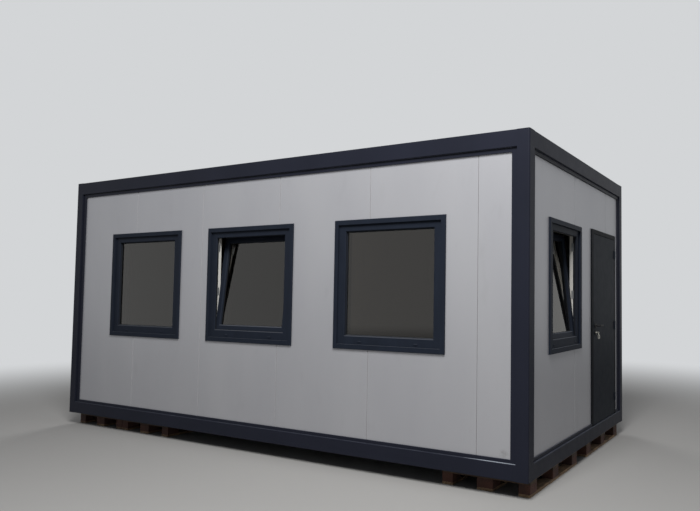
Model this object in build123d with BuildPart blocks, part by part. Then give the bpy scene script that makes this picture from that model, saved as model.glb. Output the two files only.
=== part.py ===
"""Portable site cabin: a steel-framed box 6.0 x 3.0 x 2.8 m with sandwich panel walls, on six flat pallets.

Millimetres, +Z up, origin on the ground under the middle of the footprint.
+X is the end with the door, -Y the long side with three windows.
"""
import os
from math import atan2, degrees, hypot, radians, tan

from build123d import *

os.makedirs("parts", exist_ok=True)

# Outside of the steel frame
length = 6000.0
width = 3000.0
frame_height = 2800.0

# Frame sections: bent steel sheet, closed to box sections
sheet = 4.0
post_face = 110.0
post_corner_radius = 15.0
floor_rail_face = 133.0
roof_rail_face = 143.0
rail_depth = 100.0
rail_bend = 6.0

# The lip that stands back from the main faces and covers the edges of the panels
lip_setback = 16.0
post_lip = 50.0
floor_lip = 28.0
roof_groove = 6.0
roof_groove_setback = 22.0
roof_lip = 30.0

# Sandwich panels
panel_setback = 28.0
panel_thickness = 60.0
panel_module = 1100.0
panel_joint = 1.5
panel_joint_chamfer = 2.5
tongue_length = 12.0
tongue_thickness = 20.0
tongue_play = 1.0
front_first_joint = 466.0
side_first_joint = 1250.0
seat = 1.0

# Floor and roof
floor_board = 18.0
joist_width = 50.0
joist_pitch = 600.0
underside_sheet = 1.0
ceiling_board = 10.0
roof_sheet_gauge = 1.0
roof_rib_height = 20.0
roof_rib_pitch = 250.0
roof_rib_top = 60.0
roof_rib_slope = 25.0
roof_sheet_drop = 10.0

# Windows: trim, fixed frame, sash and double glazing
front_window_width = 1190.0
side_window_width = 910.0
window_height = 1190.0
window_middle = 1551.0
# Window middles: from the door end, from the middle, from the far end,
# and from the front corner of the door end
right_window_place = 1363.0
middle_window_place = 70.0
left_window_place = 1311.0
end_window_place = 980.0
trim_width = 30.0
trim_proud = 15.0
trim_chamfer = 3.0
frame_chamfer = 5.0
bead_chamfer = 9.0
frame_edge = 14.0
frame_setback = 18.0
frame_side_visible = 90.0
frame_head_visible = 76.0
frame_sill_visible = 92.0
frame_depth = 75.0
sash_setback = 18.0
sash_depth = 62.0
sash_visible = 46.0
sash_overlap = 12.0
sash_play = 3.0
sash_rest = 0.3
glass_depth = 24.0
glass_bite = 12.0
glass_setback = 28.0
# The ring of beads that holds the pane of a fixed light
bead_visible = 6.0
bead_edge = 2.0
bead_lip = 8.0
sash_tilt = 6.4
stay_width = 14.0
stay_gauge = 2.0
stay_span = 250.0
stay_pin_radius = 4.0
stay_pin_play = 0.1
stay_pin_setback = 18.0
handle_plate_width = 28.0
handle_plate_height = 68.0
handle_plate_gauge = 9.0
handle_neck_radius = 9.0
handle_standoff = 34.0
handle_length = 125.0
handle_width = 20.0
handle_gauge = 11.0

# Door
door_place = 740.0
door_frame_width = 940.0
door_frame_top = 2170.0
door_frame_face = 45.0
door_setback = 14.0
door_gap = 5.0
lock_gap = 7.0
leaf_thickness = 50.0
door_stop = 15.0
hinge_radius = 7.0
hinge_pin_radius = 4.0
hinge_pin_play = 0.3
hinge_knuckle = 45.0
hinge_play = 1.0
hinge_heights = (330.0, 1140.0, 1950.0)
hinge_gap = 2.5
hinge_leaf_plate = 30.0
hinge_plate_gauge = 3.0
lever_height = 1160.0
lever_inset = 60.0
lever_reach = 112.0
lever_radius = 8.0
lever_standoff = 44.0
lever_bend = 15.0
neck_play = 0.5
rose_radius = 26.0
rose_gauge = 8.0
spindle_radius = 6.0
spindle_play = 0.3
lock_drop = 72.0
cylinder_radius = 8.5
cylinder_proud = 14.0
key_gauge = 2.5
key_blade_width = 8.0
key_neck = 6.0
key_bow = 12.0
key_hole = 4.0
key_ring = 12.0
key_ring_wire = 1.2
key_play = 0.3
tag_width = 22.0
tag_height = 42.0
tag_hole = 3.0
tag_hole_inset = 6.0

# Flat pallets, 1200 x 800
pallet_length = 1200.0
pallet_width = 800.0
pallet_board = 22.0
pallet_block = 78.0
wide_board = 145.0
narrow_board = 100.0
# Two pallets deep, in one column at the door end and two at the other, set in from the edges of the frame
pallet_door_end_inset = 30.0
pallet_far_end_inset = 50.0
pallet_column_gap = 10.0
pallet_front_inset = 120.0
pallet_back_inset = 160.0

# Levels above the ground
pallet_height = 3 * pallet_board + pallet_block
frame_bottom = pallet_height
frame_top = frame_bottom + frame_height
floor_rail_top = frame_bottom + floor_rail_face
roof_rail_bottom = frame_top - roof_rail_face
ceiling_level = roof_rail_bottom - ceiling_board
panel_bottom = floor_rail_top + seat
panel_top = roof_rail_bottom - seat
panel_inner = panel_setback + panel_thickness

# The four walls. The first direction runs along the wall, seen from outside from left to right.
# The second points inwards.
# The third is the length of the wall, and the fourth how far its main face is from the middle.
SIDES = {
    "front": ((1, 0, 0), (0, 1, 0), length, width / 2),
    "right": ((0, 1, 0), (-1, 0, 0), width, length / 2),
    "back": ((-1, 0, 0), (0, -1, 0), length, width / 2),
    "left": ((0, -1, 0), (1, 0, 0), width, length / 2),
}


def wall_plane(side, depth):
    """Upright plane at a depth behind a wall's main face, its x along the wall from the middle, its y up."""
    along, inward, _, reach = SIDES[side]
    inward = Vector(*inward)
    return Plane(origin=-inward * (reach - depth), x_dir=along, z_dir=-inward)


def plan_plane(side, level):
    """Level plane, its x along the wall from the middle and its y inwards from the main face."""
    along, inward, _, reach = SIDES[side]
    return Plane(origin=-Vector(*inward) * reach + Vector(0, 0, level), x_dir=along, z_dir=(0, 0, 1))


def section_plane(side, start):
    """Plane across a rail at a distance from the wall's left end, its x inwards from the main face, its y up."""
    along, inward, run, reach = SIDES[side]
    origin = Vector(*along) * (start - run / 2) - Vector(*inward) * reach
    return Plane(origin=origin, x_dir=inward, z_dir=along)


def write(part, name):
    """Label a finished piece and write its file."""
    part.label = name
    export_step(part, f"parts/{name}.step")


# Corner posts: square tube with a rounded outer corner and a stepped lip on both faces
def make_post(corner, x_dir):
    lip_end = post_face + post_lip
    with BuildPart() as post:
        with BuildSketch(Plane(origin=(*corner, frame_bottom), x_dir=x_dir, z_dir=(0, 0, 1))) as tube:
            Rectangle(post_face, post_face, align=(Align.MIN, Align.MIN))
            fillet(tube.vertices().sort_by(Axis((0, 0, 0), (1, 1, 0)))[0], post_corner_radius)
            offset(amount=-sheet, kind=Kind.INTERSECTION, mode=Mode.SUBTRACT)
        extrude(amount=frame_height)
        for swap in (False, True):
            outline = [(post_face - sheet, lip_setback), (lip_end, lip_setback), (lip_end, panel_setback),
                       (lip_end - sheet, panel_setback), (lip_end - sheet, lip_setback + sheet),
                       (post_face - sheet, lip_setback + sheet)]
            if swap:
                outline = [(y, x) for x, y in outline]
            with BuildSketch(Plane(origin=(*corner, floor_rail_top), x_dir=x_dir, z_dir=(0, 0, 1))):
                with BuildLine():
                    Polyline(*outline, close=True)
                make_face()
            extrude(amount=roof_rail_bottom - floor_rail_top)
    return post.part


half_length, half_width = length / 2, width / 2
POSTS = {
    "corner_post_front_left": ((-half_length, -half_width), (1, 0, 0)),
    "corner_post_front_right": ((half_length, -half_width), (0, 1, 0)),
    "corner_post_back_right": ((half_length, half_width), (-1, 0, 0)),
    "corner_post_back_left": ((-half_length, half_width), (0, -1, 0)),
}
for name, (corner, x_dir) in POSTS.items():
    write(make_post(corner, x_dir), name)


def rail_section(side, middle_level, face):
    """Box section of a rail, with the two bends of its main face."""
    with BuildSketch(section_plane(side, post_face)) as section:
        with Locations((rail_depth / 2, middle_level)):
            Rectangle(rail_depth, face)
        fillet(section.vertices().sort_by(Axis.X)[:2], rail_bend)
        offset(amount=-sheet, kind=Kind.INTERSECTION, mode=Mode.SUBTRACT)
    return section.sketch


# Floor rails: box section with a stepped lip on top, cut away where the door stands
def make_floor_rail(side):
    run = SIDES[side][2]
    lip_start = post_face + post_lip
    with BuildPart() as rail:
        box_section = rail_section(side, frame_bottom + floor_rail_face / 2, floor_rail_face)
        extrude(box_section, amount=run - 2 * post_face)
        with BuildSketch(section_plane(side, lip_start)):
            with BuildLine():
                Polyline((lip_setback, floor_rail_top - sheet), (lip_setback, floor_rail_top + floor_lip),
                         (panel_setback, floor_rail_top + floor_lip),
                         (panel_setback, floor_rail_top + floor_lip - sheet),
                         (lip_setback + sheet, floor_rail_top + floor_lip - sheet),
                         (lip_setback + sheet, floor_rail_top - sheet), close=True)
            make_face()
        extrude(amount=run - 2 * lip_start)
        if side == "right":
            with BuildSketch(wall_plane(side, 0)):
                with Locations((half_width - door_place, floor_rail_top + floor_lip)):
                    Rectangle(door_frame_width, 2 * floor_lip)
            extrude(amount=-panel_setback, mode=Mode.SUBTRACT)
    return rail.part


# Roof rails: box section with a shadow groove and a lip below
def make_roof_rail(side):
    run = SIDES[side][2]
    lip_start = post_face + post_lip
    groove_bottom = roof_rail_bottom - roof_groove
    lip_bottom = groove_bottom - roof_lip
    with BuildPart() as rail:
        box_section = rail_section(side, frame_top - roof_rail_face / 2, roof_rail_face)
        extrude(box_section, amount=run - 2 * post_face)
        with BuildSketch(section_plane(side, lip_start)):
            with BuildLine():
                Polyline((roof_groove_setback, roof_rail_bottom + sheet),
                         (roof_groove_setback, groove_bottom),
                         (lip_setback, groove_bottom), (lip_setback, lip_bottom),
                         (panel_setback, lip_bottom), (panel_setback, lip_bottom + sheet),
                         (lip_setback + sheet, lip_bottom + sheet),
                         (lip_setback + sheet, groove_bottom - sheet),
                         (roof_groove_setback + sheet, groove_bottom - sheet),
                         (roof_groove_setback + sheet, roof_rail_bottom + sheet), close=True)
            make_face()
        extrude(amount=run - 2 * lip_start)
    return rail.part


for side in SIDES:
    write(make_floor_rail(side), f"floor_rail_{side}")
    write(make_roof_rail(side), f"roof_rail_{side}")


# Window places: name, wall, place along the wall, width and whether the sash is tilted
WINDOWS = (
    ("left_window", "front", left_window_place - half_length, front_window_width, False),
    ("middle_window", "front", -middle_window_place, front_window_width, True),
    ("right_window", "front", half_length - right_window_place, front_window_width, False),
    ("end_window", "right", end_window_place - half_width, side_window_width, True),
)
window_level = frame_bottom + window_middle


def cut_windows(side):
    """Cut the window holes of one wall through its panels."""
    for _, wall, place, window_width, _ in WINDOWS:
        if wall == side:
            with BuildSketch(wall_plane(side, 0)) as hole:
                with Locations((place, window_level)):
                    Rectangle(window_width - 2 * trim_width, window_height - 2 * trim_width)
            extrude(hole.sketch, amount=-2 * panel_inner, mode=Mode.SUBTRACT)


def panel_outline(start, end, grooved, tongued):
    """Plan of one panel, from its outer left corner on: groove in the left edge, tongue on the right one."""
    middle = panel_setback + panel_thickness / 2
    points = [(start, panel_inner), (start, panel_setback), (end, panel_setback), (end, panel_inner)]
    if grooved:
        edge = start + panel_joint / 2
        depth = edge + tongue_length - panel_joint + tongue_play
        half_groove = tongue_thickness / 2 + tongue_play
        points[:2] = [(edge + panel_joint_chamfer, panel_inner), (edge, panel_inner - panel_joint_chamfer),
                      (edge, middle + half_groove), (depth, middle + half_groove),
                      (depth, middle - half_groove), (edge, middle - half_groove),
                      (edge, panel_setback + panel_joint_chamfer),
                      (edge + panel_joint_chamfer, panel_setback)]
    if tongued:
        edge = end - panel_joint / 2
        tip = edge + tongue_length
        half_tongue = tongue_thickness / 2
        points[-2:] = [(edge - panel_joint_chamfer, panel_setback),
                       (edge, panel_setback + panel_joint_chamfer),
                       (edge, middle - half_tongue), (tip, middle - half_tongue),
                       (tip, middle + half_tongue), (edge, middle + half_tongue),
                       (edge, panel_inner - panel_joint_chamfer),
                       (edge - panel_joint_chamfer, panel_inner)]
    return points


def panel_run(side, edges, bottom, top):
    """Upright panels between edges measured from the wall's middle, each tongue in the next one's groove."""
    with BuildSketch(plan_plane(side, bottom)) as plan:
        for index, (start, end) in enumerate(zip(edges[:-1], edges[1:])):
            with BuildLine():
                Polyline(*panel_outline(start, end, index > 0, index < len(edges) - 2), close=True)
            make_face()
    extrude(plan.sketch, amount=top - bottom)


def panel_edges(first, step, end):
    """Both ends of a wall's panels, and its joints from the first one on, a module apart."""
    edges = [-end, end]
    joint = first
    while abs(joint) < end:
        edges.append(joint)
        joint += step
    return sorted(edges)


front_end = half_length - post_face - seat
side_end = half_width - post_face - seat
front_edges = panel_edges(half_length - front_first_joint, -panel_module, front_end)
side_edges = panel_edges(side_first_joint - half_width, panel_module, side_end)

with BuildPart() as front_wall:
    panel_run("front", front_edges, panel_bottom, panel_top)
    cut_windows("front")
write(front_wall.part, "front_wall")

with BuildPart() as back_wall:
    panel_run("back", [-edge for edge in reversed(front_edges)], panel_bottom, panel_top)
write(back_wall.part, "back_wall")

with BuildPart() as left_wall:
    panel_run("left", [-edge for edge in reversed(side_edges)], panel_bottom, panel_top)
write(left_wall.part, "left_wall")

# The wall at the door end is in three pieces: beside the window, over the door, and the strip past the door
door_middle = half_width - door_place
door_left = door_middle - door_frame_width / 2
door_right = door_middle + door_frame_width / 2
door_top = frame_bottom + door_frame_top

with BuildPart() as right_wall:
    window_side_edges = [edge for edge in side_edges if edge < door_left] + [door_left - seat]
    panel_run("right", window_side_edges, panel_bottom, panel_top)
    cut_windows("right")
write(right_wall.part, "right_wall")

with BuildPart() as wall_over_door:
    over_edges = [door_left - seat] + [edge for edge in side_edges if door_left < edge < door_right]
    panel_run("right", over_edges + [door_right + seat], door_top + seat, panel_top)
write(wall_over_door.part, "wall_over_door")

with BuildPart() as wall_beside_door:
    panel_run("right", [door_right + seat, side_end], panel_bottom, panel_top)
write(wall_beside_door.part, "wall_beside_door")


# Windows: a trimmed frame fixed in the hole, with a sash that hangs at its bottom edge or a ring of beads
def ring(plane, middle, outer, opening, depth):
    """Rectangular ring: its middle and outer size, then the side edges and bottom and top of its opening."""
    (left, right), (low, high) = opening
    with BuildSketch(plane) as face:
        with Locations(middle):
            Rectangle(*outer)
        with Locations((middle[0] + (left + right) / 2, middle[1] + (low + high) / 2)):
            Rectangle(right - left, high - low, mode=Mode.SUBTRACT)
    extrude(face.sketch, amount=-depth)


def bevel_front(part, plane, inner, size):
    """Bevel the front face of a ring, which lies in the plane, round its opening or round its outside."""
    front = part.faces().filter_by(lambda face: abs(plane.to_local_coords(face.center()).Z) < size / 2
                                   and face.inner_wires()).sort_by(Axis(plane.origin, plane.z_dir))[-1]
    chamfer((front.inner_wires()[0] if inner else front.outer_wire()).edges(), size)


def make_stay(side, head, frame_end, sash_end, sash_top):
    """Flat bar under the frame's head, out to a pin that stands on the top of the tilted sash."""
    run, reach = sash_end[0] - frame_end[0], sash_end[1] - frame_end[1]
    with BuildPart() as stay:
        with BuildSketch(plan_plane(side, head - stay_gauge)) as bar:
            with Locations(((frame_end[0] + sash_end[0]) / 2, (frame_end[1] + sash_end[1]) / 2)):
                SlotCenterToCenter(hypot(run, reach), stay_width, rotation=degrees(atan2(reach, run)))
        extrude(bar.sketch, amount=stay_gauge)
        pin_bottom = sash_top + stay_pin_radius * tan(radians(sash_tilt)) + stay_pin_play
        with BuildSketch(plan_plane(side, pin_bottom)) as pin:
            with Locations(sash_end):
                Circle(stay_pin_radius)
        extrude(pin.sketch, amount=head - stay_gauge - pin_bottom)
    return stay.part


window_handles = []
tilt_stays = []


def make_window(name, side, place, window_width, tilted):
    middle = (place, window_level)
    half_w, half_h = window_width / 2, window_height / 2
    trim_face = panel_setback - trim_proud
    frame_face = trim_face + frame_setback
    sash_face = frame_face + sash_setback
    # Opening of the fixed frame's outer lip
    side_edge = half_w - trim_width - frame_side_visible
    low_edge = -(half_h - trim_width - frame_sill_visible)
    high_edge = half_h - trim_width - frame_head_visible
    with BuildPart() as frame:
        step_w, step_h = half_w - trim_width - frame_edge, half_h - trim_width - frame_edge
        ring(wall_plane(side, trim_face), middle,
             (window_width - 2 * trim_width, window_height - 2 * trim_width),
             ((-step_w, step_w), (-step_h, step_h)), frame_setback)
        ring(wall_plane(side, frame_face), middle,
             (window_width - 2 * trim_width, window_height - 2 * trim_width),
             ((-side_edge, side_edge), (low_edge, high_edge)), frame_depth)
        bevel_front(frame, wall_plane(side, frame_face), True, frame_chamfer)
        with BuildPart(mode=Mode.PRIVATE) as trim:
            ring(wall_plane(side, trim_face), middle, (window_width, window_height),
                 ((-half_w + trim_width, half_w - trim_width), (-half_h + trim_width, half_h - trim_width)),
                 trim_proud)
            bevel_front(trim, wall_plane(side, trim_face), False, trim_chamfer)
        add(trim.part)
        # Rebate for the sash, open to the room
        rebate_low = low_edge - sash_overlap - sash_rest
        rebate_high = high_edge + sash_overlap + sash_play
        with BuildSketch(wall_plane(side, sash_face)):
            with Locations((place, window_level + (rebate_low + rebate_high) / 2)):
                Rectangle(2 * (side_edge + sash_overlap + sash_play), rebate_high - rebate_low)
        extrude(amount=-frame_depth, mode=Mode.SUBTRACT)
    write(frame.part, f"{name}_frame")

    sash_side = side_edge + sash_overlap
    sash_low, sash_high = low_edge - sash_overlap, high_edge + sash_overlap
    section, chamfer_size, front_lip = (bead_visible, bead_edge, bead_lip)
    if tilted:
        section, chamfer_size, front_lip = (sash_visible, bead_chamfer, glass_setback)
    pane_side = side_edge - section
    pane_low, pane_high = low_edge + section, high_edge - section
    glass_face = sash_face + front_lip
    sash_middle = (sash_low + sash_high) / 2
    sash_plane = wall_plane(side, sash_face + sash_rest)
    with BuildPart() as sash:
        ring(sash_plane, (place, window_level + sash_middle), (2 * sash_side, sash_high - sash_low),
             ((-pane_side, pane_side), (pane_low - sash_middle, pane_high - sash_middle)), sash_depth)
        bevel_front(sash, sash_plane, True, chamfer_size)
        with BuildSketch(wall_plane(side, glass_face)):
            with Locations((place, window_level + (pane_low + pane_high) / 2)):
                Rectangle(2 * (pane_side + glass_bite), pane_high - pane_low + 2 * glass_bite)
        extrude(amount=-glass_depth, mode=Mode.SUBTRACT)
    with BuildPart() as glass:
        with BuildSketch(wall_plane(side, glass_face)):
            with Locations((place, window_level + (pane_low + pane_high) / 2)):
                Rectangle(2 * (pane_side + glass_bite), pane_high - pane_low + 2 * glass_bite)
        extrude(amount=-glass_depth)
    # The handle of a sash is on the inner face of its right stile, and points up when the sash is tilted.
    room_side = wall_plane(side, sash_face + sash_rest + sash_depth)
    handle_place = (place + (pane_side + sash_side) / 2, window_level + sash_middle)
    grip_shift = (handle_length - handle_width) / 2
    with BuildPart() as handle:
        with BuildSketch(room_side) as plate:
            with Locations(handle_place):
                RectangleRounded(handle_plate_width, handle_plate_height, handle_plate_width / 3)
        extrude(plate.sketch, amount=-handle_plate_gauge)
        with BuildSketch(room_side.offset(-handle_plate_gauge)) as neck:
            with Locations(handle_place):
                Circle(handle_neck_radius)
        extrude(neck.sketch, amount=-handle_standoff)
        with BuildSketch(room_side.offset(-handle_plate_gauge - handle_standoff)) as grip:
            with Locations((handle_place[0], handle_place[1] + grip_shift)):
                SlotOverall(handle_length, handle_width, rotation=90)
        extrude(grip.sketch, amount=-handle_gauge)
    # A tilted sash turns on the inner edge of its bottom rail, and a stay holds its top edge
    angle = -sash_tilt if tilted else 0.0
    hinge_line = Axis(room_side.from_local_coords((place, window_level + sash_low, 0)), room_side.x_dir)
    write(sash.part.rotate(hinge_line, angle), f"{name}_sash")
    write(glass.part.rotate(hinge_line, angle), f"{name}_glass")
    if tilted:
        window_handles.append(handle.part.rotate(hinge_line, angle))
        top_middle = Vector(place, window_level + sash_high, sash_depth / 2)
        top_middle = Vertex(*room_side.from_local_coords(top_middle)).rotate(hinge_line, angle).center()
        along_wall, sash_top, outwards = wall_plane(side, 0).to_local_coords(top_middle)
        stay_depth = frame_face + frame_depth - stay_pin_setback
        tilt_stays.append(make_stay(side, window_level + rebate_high, (along_wall - stay_span, stay_depth),
                                    (along_wall, -outwards), sash_top))


for window in WINDOWS:
    make_window(*window)
write(Compound(children=window_handles), "window_handles")
write(Compound(children=tilt_stays), "tilt_stays")


# Floor: joists between the long rails, a steel sheet under them and a boarded deck on top
inner_length = length - 2 * rail_depth
inner_width = width - 2 * rail_depth
joist_height = floor_rail_face - underside_sheet
joist_count = int(inner_length // joist_pitch)


def board(inset, gauge, bottom):
    """A level board inside the frame, notched round the four posts."""
    with BuildPart() as sheet_part:
        with BuildSketch(Plane.XY.offset(bottom)):
            Rectangle(length - 2 * inset, width - 2 * inset)
            with GridLocations(length - post_face, width - post_face, 2, 2):
                Rectangle(post_face + 2 * seat, post_face + 2 * seat, mode=Mode.SUBTRACT)
        extrude(amount=gauge)
    return sheet_part.part


with BuildPart() as floor_joists:
    with Locations((0, 0, floor_rail_top - joist_height / 2)):
        with GridLocations(joist_pitch, 1, joist_count, 1):
            Box(joist_width, inner_width, joist_height)
write(floor_joists.part, "floor_joists")

write(board(rail_depth, underside_sheet, frame_bottom), "floor_underside")
write(board(panel_inner + seat, floor_board, floor_rail_top), "floor_deck")

# Roof: ceiling board under the rails, joists, and a ribbed sheet between the rails
write(board(panel_inner + seat, ceiling_board, ceiling_level), "ceiling")

roof_sheet_bottom = frame_top - roof_sheet_drop - roof_rib_height - roof_sheet_gauge
with BuildPart() as roof_joists:
    with Locations((0, 0, (roof_rail_bottom + roof_sheet_bottom) / 2)):
        with GridLocations(joist_pitch, 1, joist_count, 1):
            Box(joist_width, inner_width, roof_sheet_bottom - roof_rail_bottom)
write(roof_joists.part, "roof_joists")

rib_count = int(inner_length // roof_rib_pitch)
rib_level = roof_sheet_bottom + roof_rib_height
with BuildPart() as roof_sheet:
    with BuildSketch(Plane(origin=(0, -inner_width / 2, 0), x_dir=(1, 0, 0), z_dir=(0, -1, 0))):
        line = [(-inner_length / 2, roof_sheet_bottom)]
        for rib in range(rib_count):
            centre = (rib - (rib_count - 1) / 2) * roof_rib_pitch
            half_top = roof_rib_top / 2
            half_foot = half_top + roof_rib_slope
            line += [(centre - half_foot, roof_sheet_bottom), (centre - half_top, rib_level),
                     (centre + half_top, rib_level), (centre + half_foot, roof_sheet_bottom)]
        line.append((inner_length / 2, roof_sheet_bottom))
        upper = [(x, z + roof_sheet_gauge) for x, z in reversed(line)]
        with BuildLine():
            Polyline(*line, *upper, close=True)
        make_face()
    extrude(amount=-inner_width)
    with BuildSketch(Plane.XY.offset(roof_sheet_bottom)):
        with GridLocations(length - post_face, width - post_face, 2, 2):
            Rectangle(post_face + 2 * seat, post_face + 2 * seat)
    extrude(amount=roof_rib_height + roof_sheet_gauge, mode=Mode.SUBTRACT)
write(roof_sheet.part, "roof_sheet")

# Door frame: two jambs and a head as deep as the wall, with a stop behind the leaf all round the opening
frame_plane = wall_plane("right", door_setback)
stop_depth = door_setback + leaf_thickness + door_gap
opening_left = door_left + door_frame_face
opening_right = door_right - door_frame_face
opening_top = door_top - door_frame_face

with BuildPart() as door_frame:
    for depth, stop in ((door_setback, 0.0), (stop_depth, door_stop)):
        with BuildSketch(wall_plane("right", depth)):
            with BuildLine():
                Polyline((door_left, floor_rail_top), (door_left, door_top), (door_right, door_top),
                         (door_right, floor_rail_top), (opening_right - stop, floor_rail_top),
                         (opening_right - stop, opening_top - stop),
                         (opening_left + stop, opening_top - stop),
                         (opening_left + stop, floor_rail_top), close=True)
            make_face()
        extrude(amount=depth - panel_inner)
write(door_frame.part, "door_frame")

# The threshold is the bottom part of the stop
with BuildPart() as door_threshold:
    with BuildSketch(wall_plane("right", stop_depth)):
        with Locations((door_middle, floor_rail_top + (door_gap + door_stop) / 2)):
            Rectangle(opening_right - opening_left - 2 * door_stop, door_gap + door_stop)
    extrude(amount=stop_depth - panel_inner)
write(door_threshold.part, "door_threshold")

# Door leaf, bored for the spindle and the lock cylinder
leaf_left = opening_left + lock_gap
leaf_right = opening_right - door_gap
leaf_bottom = floor_rail_top + door_gap
leaf_top = opening_top - door_gap
lever_place = leaf_left + lever_inset
lever_level = frame_bottom + lever_height
lock_level = lever_level - lock_drop

with BuildPart() as door_leaf:
    with BuildSketch(frame_plane):
        with Locations(((leaf_left + leaf_right) / 2, (leaf_bottom + leaf_top) / 2)):
            Rectangle(leaf_right - leaf_left, leaf_top - leaf_bottom)
        with Locations((lever_place, lever_level)):
            Circle(spindle_radius + spindle_play, mode=Mode.SUBTRACT)
        with Locations((lever_place, lock_level)):
            Circle(cylinder_radius, mode=Mode.SUBTRACT)
    extrude(amount=-leaf_thickness)
write(door_leaf.part, "door_leaf")

# Hinges: the lower knuckle and its pin belong to the frame, the upper knuckle to the leaf
leaf_face = half_length - door_setback
hinge_x = leaf_face + hinge_radius
hinge_y = opening_right - door_gap / 2


def knuckle(level, hand, bore):
    """One half of a hinge, upwards from a level: a knuckle, and a plate to one side on the door's face."""
    with BuildSketch(Plane.XY.offset(level)) as half:
        with Locations((hinge_x, hinge_y)):
            Circle(hinge_radius)
        with Locations((leaf_face, hinge_y)):
            Rectangle(hinge_radius, hinge_radius, align=(Align.MIN, hand))
        with Locations((leaf_face, hinge_y + (hinge_gap if hand == Align.MIN else -hinge_gap))):
            Rectangle(hinge_plate_gauge, hinge_leaf_plate, align=(Align.MIN, hand))
        with Locations((hinge_x, hinge_y)):
            if bore:
                Circle(bore, mode=Mode.SUBTRACT)
    extrude(half.sketch, amount=hinge_knuckle)


with BuildPart() as hinges_on_frame:
    for height in hinge_heights:
        knuckle(frame_bottom + height - hinge_knuckle, Align.MIN, 0.0)
        with BuildSketch(Plane.XY.offset(frame_bottom + height)) as pin:
            with Locations((hinge_x, hinge_y)):
                Circle(hinge_pin_radius)
        extrude(pin.sketch, amount=hinge_knuckle)
write(hinges_on_frame.part, "hinges_on_frame")

with BuildPart() as hinges_on_leaf:
    for height in hinge_heights:
        knuckle(frame_bottom + height + hinge_play, Align.MAX, hinge_pin_radius + hinge_pin_play)
write(hinges_on_leaf.part, "hinges_on_leaf")

# Roses and lock plates on both faces of the leaf
with BuildPart() as lock_roses:
    for depth, amount in ((0.0, rose_gauge), (leaf_thickness, -rose_gauge)):
        with BuildSketch(frame_plane.offset(-depth)):
            with Locations((lever_place, lever_level)):
                Circle(rose_radius)
                Circle(spindle_radius + spindle_play, mode=Mode.SUBTRACT)
            with Locations((lever_place, lock_level)):
                Circle(rose_radius)
                Circle(cylinder_radius, mode=Mode.SUBTRACT)
        extrude(amount=amount)
write(lock_roses.part, "lock_roses")

# Levers inside and outside on one spindle, each of round bar bent from the neck to the grip
with BuildPart() as door_lever:
    with BuildSketch(frame_plane.offset(rose_gauge)):
        with Locations((lever_place, lever_level)):
            Circle(spindle_radius)
    extrude(amount=-(2 * rose_gauge + leaf_thickness))
    for root, grip in ((leaf_face + rose_gauge + neck_play, leaf_face + rose_gauge + lever_standoff),
                       (leaf_face - leaf_thickness - rose_gauge - neck_play,
                        leaf_face - leaf_thickness - rose_gauge - lever_standoff)):
        with BuildLine() as bar_line:
            FilletPolyline((root, lever_place, lever_level), (grip, lever_place, lever_level),
                           (grip, lever_place + lever_reach, lever_level), radius=lever_bend)
        with BuildSketch(Plane(origin=bar_line.line @ 0, z_dir=bar_line.line % 0)) as bar:
            Circle(lever_radius)
        sweep(bar.sketch, path=bar_line.line)
        neck_plane = Plane(origin=(root, lever_place, lever_level), z_dir=(leaf_face - root, 0, 0))
        with BuildSketch(neck_plane) as spindle:
            Circle(spindle_radius)
        extrude(spindle.sketch, amount=2 * neck_play)
write(door_lever.part, "door_lever")

# Lock cylinder with a key in its outer end
with BuildPart() as lock_cylinder:
    with BuildSketch(frame_plane.offset(cylinder_proud)):
        with Locations((lever_place, lock_level)):
            Circle(cylinder_radius)
    extrude(amount=-(leaf_thickness + 2 * cylinder_proud))
write(lock_cylinder.part, "lock_cylinder")

# The key, and a ring in its bow from which a tag hangs
key_x = leaf_face + cylinder_proud
bow_x = key_x + key_neck + key_bow
hole_x = bow_x + key_bow / 2
ring_top = lock_level - key_hole + key_ring_wire + key_play
ring_bottom = ring_top - 2 * key_ring
tag_hole_level = ring_bottom - tag_hole + key_ring_wire + key_play
tag_middle = tag_hole_level + tag_hole_inset - tag_height / 2


def upright_plate(level):
    """Plane of a thin plate that stands out from the door, its x outwards and its y up."""
    return Plane(origin=(0, lever_place + key_gauge / 2, level), x_dir=(1, 0, 0), z_dir=(0, -1, 0))


with BuildPart() as door_key:
    with BuildSketch(upright_plate(lock_level)):
        with Locations((key_x + key_neck, 0)):
            Rectangle(2 * key_neck, key_blade_width)
        with Locations((bow_x, 0)):
            Circle(key_bow)
        with Locations((hole_x, 0)):
            Circle(key_hole, mode=Mode.SUBTRACT)
    extrude(amount=key_gauge)
    with BuildSketch(upright_plate(tag_middle)):
        with Locations((hole_x, 0)):
            RectangleRounded(tag_width, tag_height, tag_width / 3)
        with Locations((hole_x, tag_hole_level - tag_middle)):
            Circle(tag_hole, mode=Mode.SUBTRACT)
    extrude(amount=key_gauge)
    with Locations(Plane(origin=(hole_x, lever_place, ring_top - key_ring), z_dir=(1, 0, 0))):
        Torus(key_ring, key_ring_wire)
write(door_key.part, "door_key")


# Pallets: boards along and across, and nine blocks each
far_column = -half_length + pallet_far_end_inset + pallet_width / 2
columns = (far_column, far_column + pallet_width + pallet_column_gap,
           half_length - pallet_door_end_inset - pallet_width / 2)
rows = (-half_width + pallet_front_inset + pallet_length / 2,
        half_width - pallet_back_inset - pallet_length / 2)
cross_level = pallet_board + pallet_block
deck_level = cross_level + pallet_board
pallet_centres = [(column, row) for column in columns for row in rows]


def pallet_lines(overall, wide, narrow):
    """Centres and widths of three members across a pallet: narrow, wide, narrow."""
    edge = (overall - narrow) / 2
    return ((-edge, narrow), (0.0, wide), (edge, narrow))


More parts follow.
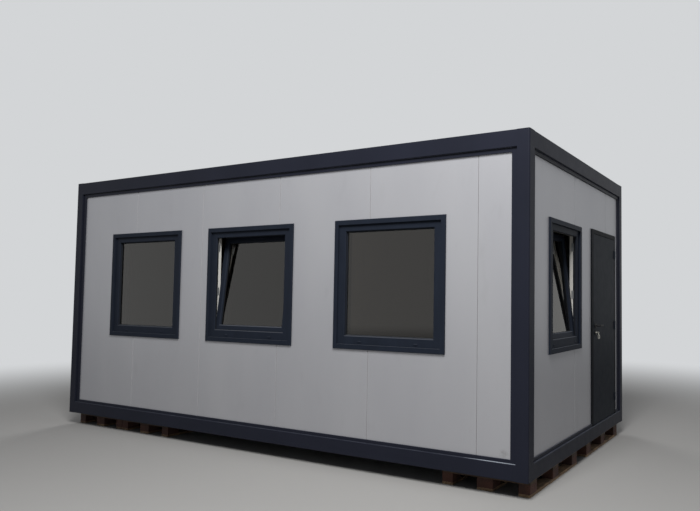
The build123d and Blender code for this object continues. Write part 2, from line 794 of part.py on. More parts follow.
across_lines = pallet_lines(pallet_width, wide_board, narrow_board)
along_lines = pallet_lines(pallet_length, wide_board, wide_board)
deck_edge = (pallet_width - wide_board) / 2
deck_lines = [(-deck_edge, wide_board), (-deck_edge / 2, narrow_board), (0.0, wide_board),
              (deck_edge / 2, narrow_board), (deck_edge, wide_board)]

on_floor = (Align.CENTER, Align.CENTER, Align.MIN)

with BuildPart() as pallet_bottom_boards:
    for x, y in pallet_centres:
        for shift, board_width in across_lines:
            with Locations((x + shift, y, 0)):
                Box(board_width, pallet_length, pallet_board, align=on_floor)
write(pallet_bottom_boards.part, "pallet_bottom_boards")

with BuildPart() as pallet_blocks:
    for x, y in pallet_centres:
        for shift_x, block_x in across_lines:
            for shift_y, block_y in along_lines:
                with Locations((x + shift_x, y + shift_y, pallet_board)):
                    Box(block_x, block_y, pallet_block, align=on_floor)
write(pallet_blocks.part, "pallet_blocks")

with BuildPart() as pallet_cross_boards:
    for x, y in pallet_centres:
        for shift, board_width in along_lines:
            with Locations((x, y + shift, cross_level)):
                Box(pallet_width, board_width, pallet_board, align=on_floor)
write(pallet_cross_boards.part, "pallet_cross_boards")

with BuildPart() as pallet_deck_boards:
    for x, y in pallet_centres:
        for shift, board_width in deck_lines:
            with Locations((x + shift, y, deck_level)):
                Box(board_width, pallet_length, pallet_board, align=on_floor)
write(pallet_deck_boards.part, "pallet_deck_boards")
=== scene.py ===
"""Portable site cabin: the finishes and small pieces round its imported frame, in metres.

The cabin stands on the floor with its middle at the origin, +X towards the door and -Y towards the long side
with the windows.
"""
import math

import bpy
from mathutils import Matrix, Vector


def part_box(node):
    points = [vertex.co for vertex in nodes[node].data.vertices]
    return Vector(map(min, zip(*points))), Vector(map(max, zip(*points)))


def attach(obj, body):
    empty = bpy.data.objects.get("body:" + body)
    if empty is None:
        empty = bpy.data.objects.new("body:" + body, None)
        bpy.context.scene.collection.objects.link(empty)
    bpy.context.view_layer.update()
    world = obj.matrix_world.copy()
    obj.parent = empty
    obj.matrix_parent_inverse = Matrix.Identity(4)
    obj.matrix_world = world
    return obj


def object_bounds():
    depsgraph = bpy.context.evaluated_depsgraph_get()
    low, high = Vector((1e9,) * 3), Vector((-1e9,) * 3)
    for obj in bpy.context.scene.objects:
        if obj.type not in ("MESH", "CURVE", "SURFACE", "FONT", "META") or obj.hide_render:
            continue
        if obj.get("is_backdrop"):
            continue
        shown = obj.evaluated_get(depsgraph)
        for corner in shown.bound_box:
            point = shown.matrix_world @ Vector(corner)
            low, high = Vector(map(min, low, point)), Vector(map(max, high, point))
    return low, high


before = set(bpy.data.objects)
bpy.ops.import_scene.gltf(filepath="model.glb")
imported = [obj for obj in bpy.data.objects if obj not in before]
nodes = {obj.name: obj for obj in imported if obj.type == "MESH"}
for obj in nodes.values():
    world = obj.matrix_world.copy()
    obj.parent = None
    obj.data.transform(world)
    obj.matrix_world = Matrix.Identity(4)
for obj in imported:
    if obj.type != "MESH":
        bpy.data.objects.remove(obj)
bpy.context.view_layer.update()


# Camera: a hand-held snapshot at eye height, from in front of the door corner.
# The picture is part of a wider one, so its axis is to the right of the middle.
picture_width = 700
focal_length_px = 636.7
sensor_width = 36.0
picture_shift = (-0.1503, 0.01446)
eye_point = (4.863, -6.186, 1.580)
turn_left = 0.4943
look_up = 0.0505
lean = 0.0103
bpy.ops.object.select_all(action="DESELECT")
bpy.ops.object.camera_add(location=eye_point)
camera = bpy.context.object
aim = Matrix.Rotation(turn_left, 3, "Z") @ Matrix.Rotation(math.pi / 2 + look_up, 3, "X")
camera.rotation_euler = (aim @ Matrix.Rotation(lean, 3, "Z")).to_euler()
camera.data.sensor_width = sensor_width
camera.data.lens = focal_length_px / picture_width * sensor_width
camera.data.shift_x, camera.data.shift_y = picture_shift
camera.data.clip_end = 200.0
bpy.context.scene.camera = camera
bpy.context.scene.view_settings.view_transform = "Standard"


# Studio: a pale floor that runs out into a pale surround, seen by the camera, in gloss and through glass.
# A broad lamp high at the door corner lights the long side, and a weaker one behind lights the other walls.
def linear(hex_code):
    """An sRGB hex colour as the linear values that a shader takes."""
    values = [int(hex_code[i:i + 2], 16) / 255 for i in (1, 3, 5)]
    return [v / 12.92 if v <= 0.04045 else ((v + 0.055) / 1.055) ** 2.4 for v in values] + [1.0]


def add_node(tree, kind, inputs=(), **settings):
    """Add one node. Its inputs are a list in the node's own order, or a dict by name or number.

    Each input is a number, a hex colour, an output, or a node that stands for its first output.
    """
    node = tree.nodes.new(kind)
    for name, value in settings.items():
        setattr(node, name, value)
    for name, value in (inputs.items() if isinstance(inputs, dict) else enumerate(inputs)):
        if isinstance(value, bpy.types.Node):
            value = value.outputs[0]
        if isinstance(value, bpy.types.NodeSocket):
            tree.links.new(value, node.inputs[name])
        else:
            node.inputs[name].default_value = linear(value) if isinstance(value, str) else value
    return node


def new_material(name):
    """A material and its node tree, still empty."""
    material = bpy.data.materials.new(name)
    material.use_nodes = True
    material.node_tree.nodes.clear()
    return material, material.node_tree


surround_colour = "#d3d5d7"
floor_radius = 40.0

world = bpy.data.worlds.new("pale_surround")
bpy.context.scene.world = world
world.use_nodes = True
tree = world.node_tree
tree.nodes.clear()
path = add_node(tree, "ShaderNodeLightPath")
seen = add_node(tree, "ShaderNodeMath", [path.outputs["Is Camera Ray"], path.outputs["Is Glossy Ray"]],
                operation="MAXIMUM")
seen = add_node(tree, "ShaderNodeMath", [seen, path.outputs["Is Transmission Ray"]], operation="MAXIMUM")
fill = add_node(tree, "ShaderNodeBackground", {"Color": "#eef2fa", "Strength": 0.225})
shown = add_node(tree, "ShaderNodeBackground", {"Color": surround_colour, "Strength": 1.0})
mixed = add_node(tree, "ShaderNodeMixShader", [seen, fill, shown])
add_node(tree, "ShaderNodeOutputWorld", {"Surface": mixed})

bpy.ops.mesh.primitive_circle_add(vertices=96, radius=floor_radius, fill_type="NGON")
studio_floor = bpy.context.object
studio_floor.name = "studio_floor"
studio_floor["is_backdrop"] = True
floor_paint, tree = new_material("pale_floor_paint")
place = add_node(tree, "ShaderNodeTexCoord")
distance = add_node(tree, "ShaderNodeVectorMath", [place.outputs["Object"]], operation="LENGTH")
path = add_node(tree, "ShaderNodeLightPath")
fades = []
for ray, start, end in (("Is Camera Ray", 4.5, 11.0), ("Is Glossy Ray", 7.0, 32.0)):
    fade = add_node(tree, "ShaderNodeMapRange", [distance.outputs["Value"], start, end],
                    interpolation_type="SMOOTHSTEP")
    fades.append(add_node(tree, "ShaderNodeMath", [fade, path.outputs[ray]], operation="MULTIPLY"))
fade = add_node(tree, "ShaderNodeMath", fades, operation="MAXIMUM")
matt = add_node(tree, "ShaderNodeBsdfDiffuse", {"Color": "#8b8a88"})
glow = add_node(tree, "ShaderNodeEmission", {"Color": surround_colour, "Strength": 1.0})
mixed = add_node(tree, "ShaderNodeMixShader", [fade, matt, glow])
add_node(tree, "ShaderNodeOutputMaterial", {"Surface": mixed})
studio_floor.data.materials.append(floor_paint)

for lamp_place, target, width, watts in (((3.8, -5.6, 7.6), (1.5, -1.5, 1.0), 3.5, 1075.0),
                                         ((-5.0, 7.5, 7.0), (-1.0, 0.5, 1.2), 5.0, 500.0)):
    bpy.ops.object.light_add(type="AREA", location=lamp_place)
    lamp = bpy.context.object
    lamp.rotation_euler = (Vector(target) - lamp.location).to_track_quat("-Z", "Y").to_euler()
    lamp.data.shape = "DISK"
    lamp.data.size = width
    lamp.data.energy = watts


# Pallets: six flat pallets of sawn spruce, nailed boards on blocks of pressed wood chips.
# They carry the cabin on a level floor and are brown with patches of dirt.
def finish_surface(tree, inputs):
    """End the tree in a surface shader with these inputs, and its output."""
    shader = add_node(tree, "ShaderNodeBsdfPrincipled", inputs)
    add_node(tree, "ShaderNodeOutputMaterial", {"Surface": shader})


def noise(tree, size, stretch=(1, 1, 1), detail=4.0):
    """Noise from 0 to 1 whose lumps are about size metres, stretched along the axes by the given times."""
    place = add_node(tree, "ShaderNodeTexCoord")
    scale = [1 / (size * times) for times in stretch]
    place = add_node(tree, "ShaderNodeVectorMath", [place.outputs["Object"], scale], operation="MULTIPLY")
    return add_node(tree, "ShaderNodeTexNoise", {"Vector": place, "Scale": 1.0, "Detail": detail})


def laid_over(tree, base, colour, pattern, low=0.0, high=1.0, least=0.0, most=1.0):
    """Lay a colour over the base. Its share goes from least to most as the pattern goes from low to high."""
    share = add_node(tree, "ShaderNodeMapRange", [pattern, low, high, least, most])
    # A colour mix takes its two colours at inputs 6 and 7 and gives the result at output 2
    return add_node(tree, "ShaderNodeMix", {0: share, 6: base, 7: colour}, data_type="RGBA").outputs[2]


def paint(name, *materials):
    """Give a piece of the frame its materials in place of the plain ones."""
    nodes[name].data.materials.clear()
    for material in materials:
        nodes[name].data.materials.append(material)


def sawn_wood(name, stretch, dark, light):
    """Sawn boards: long grain, a tone of its own for each board, and dirt that dulls it all."""
    material, tree = new_material(name)
    grain = noise(tree, size=0.012, stretch=stretch, detail=6.0)
    board_tone = noise(tree, size=0.22, detail=0.0)
    dirt = noise(tree, size=0.09, detail=8.0)
    colour = laid_over(tree, dark, light, grain, low=0.35, high=0.65)
    colour = laid_over(tree, colour, dark, board_tone, low=0.42, high=0.62)
    colour = laid_over(tree, colour, "#1f1916", dirt, low=0.45, high=0.8, most=0.8)
    relief = add_node(tree, "ShaderNodeBump", {"Height": grain, "Distance": 0.0015})
    finish_surface(tree, {"Base Color": colour, "Roughness": 0.85, "Normal": relief})
    return material


# Both tones are the same spruce: the boards along Y are lighter as painted light, those along X darker as
# painted shade
lit_along_y = sawn_wood("sawn_spruce_along_y", (1, 22, 1), "#64503c", "#9a7f60")
shaded_along_x = sawn_wood("sawn_spruce_along_x", (22, 1, 1), "#35281c", "#5c4731")

# Pressed chips: short speckles of light and dark that show which pieces are blocks
chips, tree = new_material("pressed_wood_chip")
flecks = noise(tree, size=0.007, stretch=(1, 1, 0.5), detail=3.0)
colour = laid_over(tree, "#35201a", "#563528", flecks, low=0.35, high=0.65)
colour = laid_over(tree, colour, "#2a1b17", noise(tree, size=0.15), low=0.4, high=0.75)
relief = add_node(tree, "ShaderNodeBump", {"Height": flecks, "Distance": 0.002})
finish_surface(tree, {"Base Color": colour, "Roughness": 0.9, "Normal": relief})

for name, wood in (("pallet_bottom_boards", lit_along_y), ("pallet_deck_boards", lit_along_y),
                   ("pallet_cross_boards", shaded_along_x), ("pallet_blocks", chips)):
    paint(name, wood)


# Steel frame: four corner posts, four floor rails and four roof rails of bent steel sheet, welded together
# and then powder coated in anthracite, so no bare seam shows. Dust lies on what faces up, and a pale patch on
# the outer ledge of the front floor rail, by the door corner, is a painted highlight laid over that dust.

# The middle of that painted highlight, the distances over which it thins out, and the depths where the ledge
# ends
ledge_highlight_corner = (2.72, -1.48, 0.28)
ledge_highlight_reach = (0.08, 0.32)
outer_ledge = (-1.4855, -1.4840)


def coated_steel(name, colour, shade, gloss):
    """Powder coat: a fine orange peel that breaks up the gloss, pale dust on faces that look up, and a
    painted highlight.
    """
    material, tree = new_material(name)
    faded = noise(tree, size=0.5, stretch=(1, 1, 2), detail=3.0)
    base = laid_over(tree, colour, shade, faded, low=0.3, high=0.75, most=0.5)
    facing = add_node(tree, "ShaderNodeNewGeometry").outputs["Normal"]
    upward = add_node(tree, "ShaderNodeSeparateXYZ", [facing]).outputs["Z"]
    level = add_node(tree, "ShaderNodeMapRange", [upward, 0.5, 0.95])
    place = add_node(tree, "ShaderNodeTexCoord").outputs["Object"]
    depth = add_node(tree, "ShaderNodeSeparateXYZ", [place]).outputs["Y"]
    on_ledge = add_node(tree, "ShaderNodeMapRange", [depth, *outer_ledge, 1.0, 0.0])
    # The pale patch on the front ledge by the door corner is a painted highlight, laid on with the dust
    from_corner = add_node(tree, "ShaderNodeVectorMath", [place, ledge_highlight_corner], operation="DISTANCE")
    by_corner = add_node(tree, "ShaderNodeMapRange", [from_corner.outputs["Value"], *ledge_highlight_reach, 1.0, 0.0])
    ledge_dust_and_highlight = add_node(tree, "ShaderNodeMath", [by_corner, on_ledge], operation="MULTIPLY")
    film = add_node(tree, "ShaderNodeMapRange", [noise(tree, size=0.06, detail=8.0), 0.25, 0.7, 0.0, 0.1])
    dust_and_highlight = add_node(tree, "ShaderNodeMath", [ledge_dust_and_highlight, film], operation="MAXIMUM")
    dust_and_highlight = add_node(tree, "ShaderNodeMath", [level, dust_and_highlight], operation="MULTIPLY")
    rough = add_node(tree, "ShaderNodeMapRange", [noise(tree, size=0.08, detail=5.0), 0.3, 0.7, 0.42, 0.47])
    orange_peel = add_node(tree, "ShaderNodeBump", {"Height": noise(tree, size=0.003, detail=1.0),
                                                    "Distance": 0.00015})
    finish_surface(tree, {"Base Color": laid_over(tree, base, "#858b93", dust_and_highlight), "Roughness": rough,
                          "Specular IOR Level": gloss, "Normal": orange_peel})
    return material


def sort_faces(mesh, choose):
    """Give each face the material whose number choose returns for its middle and its normal."""
    for face in mesh.polygons:
        face.material_index = choose(face.center, face.normal)


anthracite = coated_steel("anthracite_powder_coat", "#1b1d26", "#22242f", 0.08)
# The groove under the face of the roof rails is coated a lighter grey as painted light, so its shade isn't
# black
groove_lightened_coat = coated_steel("groove_painted_light_coat", "#4a4d57", "#52555f", 0.05)
roof_lip, roof_groove = 0.030, 0.006
lip_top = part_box("roof_rail_front")[0].z + roof_lip
slack = 0.0002


def in_groove(middle, normal):
    """1 for the faces from the top of the lip to the underside of the rail, and 0 for others."""
    return int(-slack < middle.z - lip_top < roof_groove + slack)


for name in nodes:
    if name.startswith(("corner_post", "floor_rail")):
        paint(name, anthracite)
    elif name.startswith("roof_rail"):
        paint(name, anthracite, groove_lightened_coat)
        sort_faces(nodes[name].data, in_groove)


# Walls: sandwich panels, two thin coated steel sheets on a foam core, pushed together tongue in groove.
# The outer sheet is silver and the inner one white. The joints read as dark lines, and a small smudge is low
# on the front wall by the door corner.
smudge_place = (2.78, -1.472, 0.347)
smudge_raggedness = 0.08
roll_pitch = 0.05


def coated_sheet(name, colour, shade, metallic):
    """Rolled coated sheet: faint upright lines from the rolls, and slow changes of tone between panels."""
    material, tree = new_material(name)
    place = add_node(tree, "ShaderNodeTexCoord").outputs["Object"]
    tone = noise(tree, size=0.7, stretch=(1, 1, 3), detail=3.0)
    base = laid_over(tree, colour, shade, tone, low=0.3, high=0.7)
    grime = noise(tree, size=0.12, stretch=(1, 1, 2.5), detail=9.0)
    base = laid_over(tree, base, "#6d6a68", grime, low=0.6, high=0.85, most=0.1)
    from_smudge = add_node(tree, "ShaderNodeVectorMath", [place, smudge_place], operation="DISTANCE")
    from_smudge = from_smudge.outputs["Value"]
    ragged = add_node(tree, "ShaderNodeMath", [noise(tree, size=0.02), smudge_raggedness, from_smudge],
                      operation="MULTIPLY_ADD")
    base = laid_over(tree, base, "#63615a", ragged, low=0.045, high=0.08, least=0.3, most=0.0)
    along = add_node(tree, "ShaderNodeSeparateXYZ", [place])
    along = add_node(tree, "ShaderNodeMath", [along.outputs["X"], along.outputs["Y"]], operation="ADD")
    wave = add_node(tree, "ShaderNodeMath", [along, 2 * math.pi / roll_pitch], operation="MULTIPLY")
    wave = add_node(tree, "ShaderNodeMath", [wave], operation="SINE")
    wave = add_node(tree, "ShaderNodeMapRange", [wave, -1.0, 1.0])
    rolled = add_node(tree, "ShaderNodeBump", {"Height": wave, "Distance": 0.0002, "Strength": 0.3})
    finish_surface(tree, {"Base Color": base, "Roughness": 0.4, "Metallic": metallic,
                          "Specular IOR Level": 0.4, "Normal": rolled})
    return material


def mottled(name, first, second, size, roughness, rough_size=None, metallic=0.0, gloss=0.5, detail=4.0):
    """Two near tones in lumps of a size. The roughness is one value, or a range in lumps of rough_size."""
    material, tree = new_material(name)
    colour = laid_over(tree, first, second, noise(tree, size=size, detail=detail))
    if rough_size:
        roughness = add_node(tree, "ShaderNodeMapRange", [noise(tree, size=rough_size), 0.3, 0.7, *roughness])
    finish_surface(tree, {"Base Color": colour, "Roughness": roughness, "Metallic": metallic,
                          "Specular IOR Level": gloss})
    return material


silver = coated_sheet("silver_coated_sheet", "#a8a8ab", "#a1a1a5", 0.45)
inner_white = coated_sheet("white_coated_sheet", "#d9d9d5", "#cfcfca", 0.0)
# Hard foam: dull and yellowish, on the cut edges alone
foam = mottled("panel_foam", "#4a4436", "#5b5342", size=0.003, roughness=0.95)
# The rolled edges of the sheets are painted darker as the shade in the groove, which draws each joint as a
# thin line
shaded_joint_edge = mottled("joint_edge_painted_shade", "#8d8d90", "#979799", size=0.05, roughness=0.8, gloss=0.1)

towards = {"front": Vector((0, -1, 0)), "back": Vector((0, 1, 0)),
           "left": Vector((-1, 0, 0)), "right": Vector((1, 0, 0))}
for name, wall in (("front_wall", "front"), ("back_wall", "back"), ("left_wall", "left"),
                   ("right_wall", "right"), ("wall_over_door", "right"), ("wall_beside_door", "right")):
    paint(name, silver, inner_white, foam, shaded_joint_edge)

    def sheet_or_core(middle, normal, outward=towards[wall]):
        """0 for the outer sheet, 1 for the inner one, 2 for the core and 3 for the rolled edges."""
        facing = normal.dot(outward)
        if abs(facing) < 0.5:
            return 2
        if abs(facing) < 0.9:
            return 3
        return 0 if facing > 0 else 1

    sort_faces(nodes[name].data, sheet_or_core)


# Windows: white plastic frames with anthracite foil on what faces the weather, and a trim over the edge of
# the hole. The middle and end ones are tilt and turn windows whose sashes stand tilted into the room. The
# left and right ones are fixed lights, with the pane held straight in the frame by beads.
front_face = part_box("floor_rail_front")[0].y
end_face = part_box("floor_rail_right")[1].x
# Depths behind those two faces, and how far the opening lies inside the trim at the sides, head and sill
frame_face = 0.031
sash_face = 0.049
foil_depth = 0.072
hinge_depth = 0.1113
side_in, head_in, sill_in = 0.120, 0.106, 0.122
sash_overlap = 0.012
sash_tilt = math.radians(6.4)
tilt_axis = {"front": "X", "right": "Y"}
glass_thickness = 0.024
sheet_thickness = 0.004
# A hair's breadth: what a seal is sunk in the frame, a striker plate stands off it, and an edge of foil blurs
hair = 0.0005


def plastic(name, colour, shade, roughness, gloss, film=0.0, foil_edge=None):
    """Extruded plastic: even in colour, with a fine streak along it and a pale film on what faces up, dust
    and painted highlight.

    With a foil edge it has the colour of the foil as deep as the foil is folded in.
    """
    material, tree = new_material(name)
    base = laid_over(tree, colour, shade, noise(tree, size=0.05, stretch=(1, 1, 4)))
    facing = add_node(tree, "ShaderNodeNewGeometry").outputs["Normal"]
    upward = add_node(tree, "ShaderNodeSeparateXYZ", [facing]).outputs["Z"]
    base = laid_over(tree, base, "#7d7f84", upward, low=0.3, high=0.9, most=film)
    if foil_edge:
        place = add_node(tree, "ShaderNodeTexCoord").outputs["Object"]
        place = add_node(tree, "ShaderNodeSeparateXYZ", [place])
        behind_front = add_node(tree, "ShaderNodeMath", [place.outputs["Y"], front_face],
                                operation="SUBTRACT")
        behind_end = add_node(tree, "ShaderNodeMath", [end_face, place.outputs["X"]], operation="SUBTRACT")
        behind = add_node(tree, "ShaderNodeMath", [behind_front, behind_end], operation="MINIMUM")
        base = laid_over(tree, foil_edge, base, behind, low=foil_depth - hair, high=foil_depth + hair)
    streaks = noise(tree, size=0.0015, stretch=(1, 1, 12), detail=2.0)
    streaks = add_node(tree, "ShaderNodeBump", {"Height": streaks, "Distance": 0.0001, "Strength": 0.6})
    finish_surface(tree, {"Base Color": base, "Roughness": roughness, "Specular IOR Level": gloss,
                          "Normal": streaks})
    return material


white_tones = ("#c6c4bf", "#bcbab4")
# On the foil the pale film on faces that look up is dust and a painted highlight on the sills and rails
foil = plastic("anthracite_foil", "#1a1e26", "#20252f", roughness=0.45, gloss=0.04, film=0.22)
white_plastic = plastic("white_plastic", *white_tones, roughness=0.35, gloss=0.4)
# The foil is folded far into the rebate of the frames, so only the last of it towards the room is white
wrapped = plastic("white_plastic_with_foil_edge", *white_tones, roughness=0.35, gloss=0.3,
                  foil_edge="#171b22")

# Glass: a tinted outer pane in a double unit. Each face lets most of the light through and mirrors the rest,
# more so at a low angle, which is what shows the pale surround and the white jamb in it.
glass, tree = new_material("tinted_glass")
through = add_node(tree, "ShaderNodeBsdfTransparent", {"Color": "#948e88"})
mirror = add_node(tree, "ShaderNodeBsdfGlossy", {"Color": "#f2efea", "Roughness": 0.0})
share = add_node(tree, "ShaderNodeFresnel", {"IOR": 1.55})
share = add_node(tree, "ShaderNodeMapRange", [share, 0.0, 1.0, 0.03, 1.0])
mixed = add_node(tree, "ShaderNodeMixShader", [share, through, mirror])
add_node(tree, "ShaderNodeOutputMaterial", {"Surface": mixed})

# Rubber draws matt black lines round panes and openings, and the aluminium spacer a grey one inside the pane
rubber = mottled("black_rubber", "#0e0f10", "#1a1b1c", size=0.01, roughness=0.6, gloss=0.3)
spacer_metal = mottled("spacer_aluminium", "#8b8d90", "#8f9194", size=0.01, roughness=(0.35, 0.5),
                       rough_size=0.004, metallic=0.9)
# Zinc plate: small bright fittings with soft reflections
zinc = mottled("zinc_plated_steel", "#9a9da0", "#b4b6b5", size=0.01, roughness=(0.3, 0.5), rough_size=0.006,
               metallic=0.85)


def on_wall(wall, along, depth, level):
    """The point so far along a wall, behind its main face and above the ground."""
    if wall == "front":
        return Vector((along, front_face + depth, level))
    return Vector((end_face - depth, along, level))


def block(wall, along, depth, level):
    """A box on a wall from its ranges along the wall, behind its main face and above the ground."""
    first = on_wall(wall, along[0], depth[0], level[0])
    last = on_wall(wall, along[1], depth[1], level[1])
    bpy.ops.mesh.primitive_cube_add(size=1, location=(first + last) / 2)
    bpy.context.object.scale = [abs(size) for size in last - first]
    return bpy.context.object


def ring(wall, left, right, low, high, width, depth):
    """A mitred strip inside the edges of an opening: a plane, inset, emptied in the middle and extruded."""
    middle = on_wall(wall, (left + right) / 2, depth[0], (low + high) / 2)
    upright = (math.pi / 2, 0, 0 if wall == "front" else math.pi / 2)
    bpy.ops.mesh.primitive_plane_add(size=1, location=middle, rotation=upright)
    bpy.context.object.scale = (right - left, high - low, 1)
    bpy.ops.object.transform_apply(location=True, rotation=True, scale=True)
    bpy.ops.object.mode_set(mode="EDIT")
    bpy.ops.mesh.inset(thickness=width)
    bpy.ops.mesh.delete(type="FACE")
    bpy.ops.mesh.select_all(action="SELECT")
    inward = -towards[wall] * (depth[1] - depth[0])
    bpy.ops.mesh.extrude_region_move(TRANSFORM_OT_translate={"value": inward})
    bpy.ops.mesh.select_all(action="SELECT")
    bpy.ops.mesh.normals_make_consistent(inside=False)
    bpy.ops.object.mode_set(mode="OBJECT")
    return bpy.context.object


def join(name, pieces, material, body):
    """Join pieces into one object with its place in its mesh, and let it ride on a body."""
    bpy.ops.object.select_all(action="DESELECT")
    for piece in pieces:
        piece.select_set(True)
    bpy.context.view_layer.objects.active = pieces[0]
    bpy.ops.object.transform_apply(location=True, rotation=True, scale=True)
    if len(pieces) > 1:
        bpy.ops.object.join()
    joined = bpy.context.object
    joined.name = name
    joined.data.name = name
    joined.data.materials.clear()
    joined.data.materials.append(material)
    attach(joined, body)
    return joined


def tilt(piece, wall, along, level):
    """Turn a piece of a tilted sash about the inner bottom edge of the sash."""
    pivot = on_wall(wall, along, hinge_depth, level)
    turn = Matrix.Rotation(-sash_tilt, 4, tilt_axis[wall])
    piece.data.transform(Matrix.Translation(pivot) @ turn @ Matrix.Translation(-pivot))


def round_edges(piece, width, segments):
    """Round the edges of the piece that was joined last, by a width in metres."""
    rounded = piece.modifiers.new("rounded_edges", "BEVEL")
    rounded.width = width
    rounded.segments = segments
    bpy.ops.object.modifier_apply(modifier=rounded.name)


for name, wall, tilted in (("left_window", "front", False), ("middle_window", "front", True),
                           ("right_window", "front", False), ("end_window", "right", True)):
    trim_low, trim_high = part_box(name + "_frame")
    axis = 0 if wall == "front" else 1
    left, right = trim_low[axis] + side_in, trim_high[axis] - side_in
    low, high = trim_low.z + sill_in, trim_high.z - head_in
    middle_along = (left + right) / 2
    sash_width, glass_setback = (0.046, 0.028) if tilted else (0.006, 0.008)
    glass_front = sash_face + glass_setback

    # The outer part of the frame carries the foil. Its rebate and room side are white.
    def frame_side(middle, normal, wall=wall):
        """0 for the foil and 1 for the rebate and the room side."""
        depth = middle.y - front_face if wall == "front" else end_face - middle.x
        return 0 if depth < sash_face - hair else 1

    paint(name + "_frame", foil, wrapped)
    sort_faces(nodes[name + "_frame"].data, frame_side)

    # The sash has the foil on its front and in front of the pane.
    outward = towards[wall]
    if tilted:
        outward = Matrix.Rotation(-sash_tilt, 3, tilt_axis[wall]) @ outward
    sash_mesh = nodes[name + "_sash"].data
    sash_front = max(vertex.co.dot(outward) for vertex in sash_mesh.vertices)

    def sash_side(middle, normal, outward=outward, sash_front=sash_front, foiled=glass_setback + hair):
        """0 for the foil and 1 for the room side."""
        return 0 if sash_front - middle.dot(outward) < foiled else 1

    paint(name + "_sash", foil, white_plastic)
    sort_faces(sash_mesh, sash_side)
    paint(name + "_glass", glass)

    # Seals: a black lip round the opening of the frame, on which a sash shuts or fixed beads press.
    seal = ring(wall, left - hair, right + hair, low - hair, high + hair, width=0.003, depth=(0.043, 0.048))
    join(name + "_frame_seal", [seal], rubber, "cabin")

    # Glazing: a black lip round the pane, and the aluminium spacer between its two sheets of glass.
    pane = (left + sash_width, right - sash_width, low + sash_width, high - sash_width)
    lip = ring(wall, *pane, width=0.0035, depth=(glass_front - 0.003, glass_front + 0.0002))
    lip = join(name + "_glazing_lip", [lip], rubber, "cabin")
    spacer_bite = 0.006
    spacer_edge = (pane[0] - spacer_bite, pane[1] + spacer_bite, pane[2] - spacer_bite, pane[3] + spacer_bite)
    between_sheets = (glass_front + sheet_thickness, glass_front + glass_thickness - sheet_thickness)
    spacer = ring(wall, *spacer_edge, width=0.0065, depth=between_sheets)
    spacer = join(name + "_spacer", [spacer], spacer_metal, "cabin")
    if tilted:
        tilt(lip, wall, middle_along, low - sash_overlap)
        tilt(spacer, wall, middle_along, low - sash_overlap)

    # Drain caps: two small clipped hoods over the water slots in the sill.
    cap_middles = (middle_along - 0.3, middle_along + 0.3)
    cap_half = 0.02
    caps = [block(wall, along=(cap_middle - cap_half, cap_middle + cap_half),
                  depth=(frame_face - 0.004, frame_face + 0.001), level=(low - 0.060, low - 0.046))
            for cap_middle in cap_middles]
    caps = join(name + "_drain_caps", caps, foil, "cabin")
    round_edges(caps, width=0.002, segments=2)

    if not tilted:
        continue

    # Striker plates: three zinc keeps screwed in the rebate of each jamb, for the bolts of the sash.
    keep_back, keep_face = sash_overlap + 0.003, sash_overlap + hair
    keep_half = 0.04
    keeps = [block(wall, jamb, depth=(0.066, 0.088), level=(keep_middle - keep_half, keep_middle + keep_half))
             for jamb in ((left - keep_back, left - keep_face), (right + keep_face, right + keep_back))
             for keep_middle in (low + 0.12, (low + high) / 2 - 0.08, high - 0.10)]
    keeps = join(name + "_keeps", keeps, zinc, "cabin")
    round_edges(keeps, width=0.0006, segments=1)

# Handles are lacquered castings, smooth and white, and the stays are zinc plated strip.
lacquer = mottled("white_lacquer", "#dcdbd6", "#d2d1cb", size=0.02, roughness=0.3)
paint("window_handles", lacquer)
paint("tilt_stays", zinc)


# Door: a leaf of folded sheet on three steel hinges in a steel frame, all powder coated in anthracite.
# A rubber seal lies on the stop of the frame behind the edge of the leaf.
door_coat = coated_steel("door_powder_coat", "#1c2026", "#20242a", 0.025)
# The frame, and the threshold with it, are coated darker than the leaf as painted shade for the reveal beside
# it
shaded_frame_coat = coated_steel("door_frame_coat_painted_shade", "#0e1013", "#111418", 0.02)
for name in ("door_leaf", "hinges_on_leaf", "hinges_on_frame"):
    paint(name, door_coat)
for name in ("door_frame", "door_threshold"):
    paint(name, shaded_frame_coat)

leaf_low, leaf_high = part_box("door_leaf")
leaf_back = end_face - leaf_low.x
past_lock_edge, past_hinge_edge, past_top = 0.004, 0.002, 0.002
seal = ring("right", leaf_low.y - past_lock_edge, leaf_high.y + past_hinge_edge, leaf_low.z,
            leaf_high.z + past_top, width=0.009, depth=(leaf_back + 0.001, leaf_back + 0.005))
join("door_seal", [seal], rubber, "cabin")

# Lock: moulded black plastic roses and lever on a steel spindle, which hardly shine. The cylinder, and the
# key and the tag on its ring, are nickel plated, and are the brightest point of the door.
black_plastic = mottled("black_plastic", "#0b0b0c", "#151516", size=0.01, roughness=(0.45, 0.6),
                        rough_size=0.02, gloss=0.2)
nickel = mottled("nickel_plate", "#c9c6bb", "#dedcd2", size=0.01, roughness=(0.2, 0.38),
                 rough_size=0.003, metallic=1.0)
for name, finish in (("lock_roses", black_plastic), ("door_lever", black_plastic),
                     ("lock_cylinder", nickel), ("door_key", nickel)):
    paint(name, finish)


# Floor, ceiling and roof: galvanised steel joists and trays, a boarded floor with a grey covering,
# white boards overhead, and a ribbed zinc coated sheet screwed down on top of the ribs.
galvanised, tree = new_material("galvanised_sheet")
# Weathered zinc: dull, with soft spangles about 20 mm wide
spangle = noise(tree, size=0.02, detail=2.0)
colour = laid_over(tree, "#7b7f82", "#8e9294", spangle, low=0.4, high=0.6)
rough = add_node(tree, "ShaderNodeMapRange", [spangle, 0.3, 0.7, 0.6, 0.75])
finish_surface(tree, {"Base Color": colour, "Roughness": rough, "Metallic": 0.4, "Specular IOR Level": 0.3})
for name in ("floor_joists", "floor_underside", "roof_joists", "roof_sheet"):
    paint(name, galvanised)
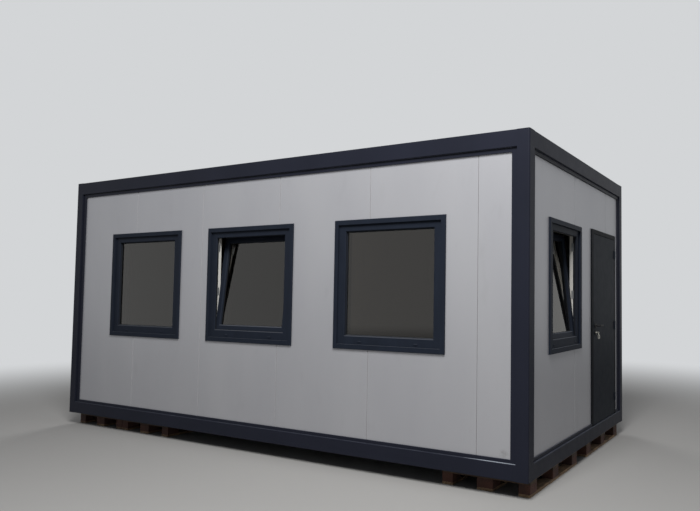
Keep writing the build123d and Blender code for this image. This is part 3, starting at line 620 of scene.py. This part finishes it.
# The covering has a fine fleck that reads as even grey from afar, and the ceiling board hardly any pattern
covering = mottled("grey_floor_covering", "#5c5b59", "#7a7876", size=0.006, roughness=0.55, detail=6.0)
paint("floor_deck", covering)
overhead = mottled("white_ceiling_board", "#d6d5d0", "#cccbc5", size=0.3, roughness=0.6)
paint("ceiling", overhead)


def select_top():
    """Go into edit mode on the new primitive with its top face alone selected."""
    bpy.ops.object.mode_set(mode="EDIT")
    bpy.ops.mesh.select_mode(type="FACE")
    bpy.ops.mesh.select_all(action="DESELECT")
    bpy.ops.object.mode_set(mode="OBJECT")
    for face in bpy.context.object.data.polygons:
        face.select = face.normal.z > 0.9
    bpy.ops.object.mode_set(mode="EDIT")


def copies(source, places):
    """The piece at each place, the first of which it takes itself."""
    found = [source]
    source.location = places[0]
    for place in places[1:]:
        piece = source.copy()
        piece.data = source.data.copy()
        piece.location = place
        bpy.context.collection.objects.link(piece)
        found.append(piece)
    return found


# Roof screws: zinc plated steel, each with a hexagon head with a chamfer on a coned washer. They hold the
# sheet down through the tops of its ribs, five to each rib.
ribs = 23
rib_spacing = 0.25
screw_rows = (-1.25, -0.65, 0.0, 0.65, 1.25)
washer_height = 0.002
head_height = 0.005
chamfer = 0.001
roof_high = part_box("roof_sheet")[1].z
screw_places = [((rib - ribs // 2) * rib_spacing, row) for rib in range(ribs) for row in screw_rows]
bpy.ops.mesh.primitive_cylinder_add(vertices=16, radius=0.008, depth=washer_height)
select_top()
bpy.ops.transform.resize(value=(0.85, 0.85, 1), center_override=(0, 0, 0))
bpy.ops.object.mode_set(mode="OBJECT")
washers = copies(bpy.context.object, [(x, y, roof_high + washer_height / 2) for x, y in screw_places])
bpy.ops.mesh.primitive_cylinder_add(vertices=6, radius=0.0055, depth=head_height)
select_top()
bpy.ops.mesh.inset(thickness=chamfer, depth=chamfer / 2)
bpy.ops.object.mode_set(mode="OBJECT")
head_middle = roof_high + washer_height + head_height / 2
heads = copies(bpy.context.object, [(x, y, head_middle) for x, y in screw_places])
join("roof_screws", washers + heads, zinc, "cabin")


# The bounds of the finished cabin
low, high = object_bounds()
